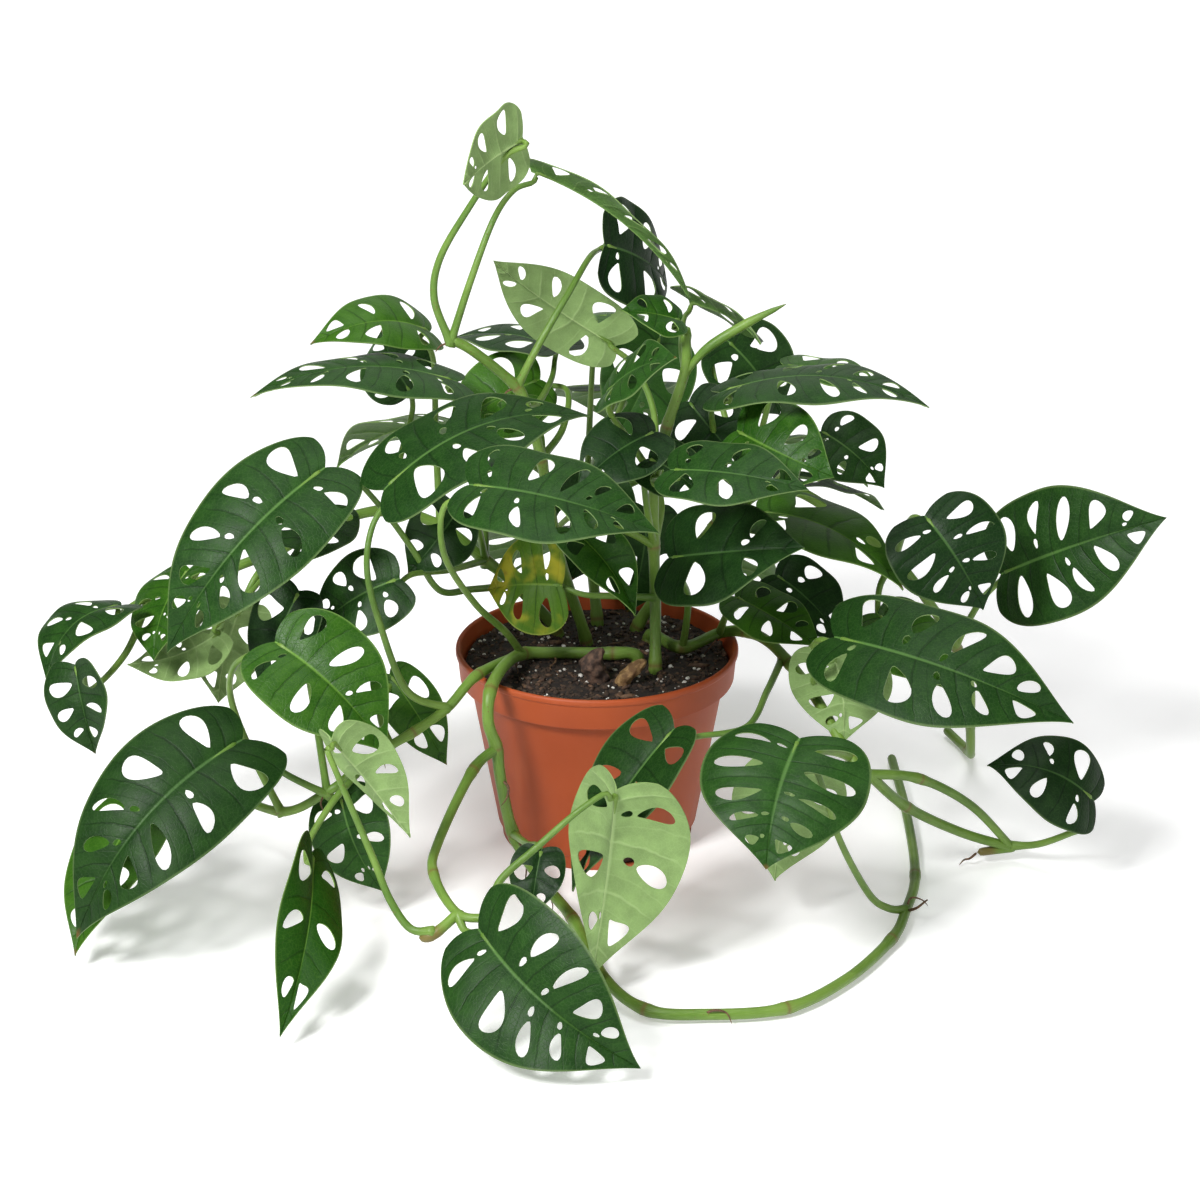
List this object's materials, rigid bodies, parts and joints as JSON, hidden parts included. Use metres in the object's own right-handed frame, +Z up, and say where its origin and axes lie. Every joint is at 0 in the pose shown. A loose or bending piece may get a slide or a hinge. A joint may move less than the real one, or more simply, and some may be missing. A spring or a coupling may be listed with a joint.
{
  "type": "potted monstera adansonii plant",
  "caption": "Trailing swiss cheese vine with slotted oval leaves, growing from soil in a tapered nursery pot with a stepped rim; it stands on its flat base.",
  "frame": {"origin": "centre of the pot's flat base, on the surface it stands on", "axes": "+Z up along the pot's axis; +X to the right and -Y towards the viewer of the pictured side"},
  "size_m": [0.586, 0.4968, 0.4145],
  "materials": {
    "pot": "satin moulded terracotta-coloured plastic",
    "soil": "damp potting soil with perlite",
    "dry_brown": "dry fibrous stub",
    "dry_tan": "dry papery scrap",
    "vine": "smooth green stem",
    "leaf_dark": "semi-gloss leaf, paler underside",
    "leaf_deep": "semi-gloss leaf, paler underside",
    "leaf_fresh": "glossy young leaf",
    "leaf_yellowing": "semi-gloss leaf with yellow patches"
  },
  "bodies": {
    "root": {"pot": "pot", "soil": "soil", "stub_dark": "dry_brown", "stub_tan": "dry_tan", "vine_front": "vine", "vine_right": "vine", "vine_top": "vine", "vine_upright": "vine", "vine_far_right": "vine", "vine_far_left": "vine", "vine_back": "vine", "leaf_left_centre": "leaf_dark", "leaf_centre_front": "leaf_dark", "leaf_mid_left": "leaf_fresh", "leaf_left_lower": "leaf_deep", "leaf_left_lower_back": "leaf_fresh", "leaf_dark_hanging": "leaf_dark", "leaf_twisted": "leaf_fresh", "leaf_left_blue": "leaf_deep", "leaf_front_bottom": "leaf_dark", "leaf_pot_right": "leaf_fresh", "leaf_centre_right": "leaf_deep", "leaf_right_under": "leaf_fresh", "leaf_right_front": "leaf_dark", "leaf_pot_front": "leaf_dark", "leaf_right_low": "leaf_deep", "leaf_top_droop": "leaf_dark", "leaf_top_dark": "leaf_deep", "leaf_top_left_dark": "leaf_dark", "leaf_top_edge": "leaf_dark", "leaf_blue_top": "leaf_dark", "leaf_crinkled": "leaf_fresh", "leaf_yellowing": "leaf_yellowing", "leaf_small_centre": "leaf_fresh", "leaf_right_far": "leaf_dark", "leaf_right_round": "leaf_deep", "leaf_right_long": "leaf_dark", "leaf_right_bright": "leaf_fresh", "leaf_right_back_bright": "leaf_fresh", "leaf_right_small": "leaf_dark", "leaf_right_arch": "leaf_fresh", "leaf_right_edge_dark": "leaf_deep", "leaf_right_lower_mid": "leaf_fresh", "leaf_left_upper": "leaf_dark", "leaf_left_top_bright": "leaf_fresh", "leaf_left_top_long": "leaf_dark", "leaf_left_top_loop": "leaf_deep", "leaf_left_slotted": "leaf_dark", "leaf_left_open": "leaf_dark", "leaf_left_behind": "leaf_fresh", "leaf_far_left": "leaf_dark", "leaf_far_left_low": "leaf_deep", "leaf_back_left": "leaf_dark", "leaf_back_centre": "leaf_dark", "leaf_back_right": "leaf_dark", "leaf_back_low": "leaf_deep", "leaf_back_low_right": "leaf_dark", "leaf_back_high": "leaf_fresh"}
  },
  "joints": []
}
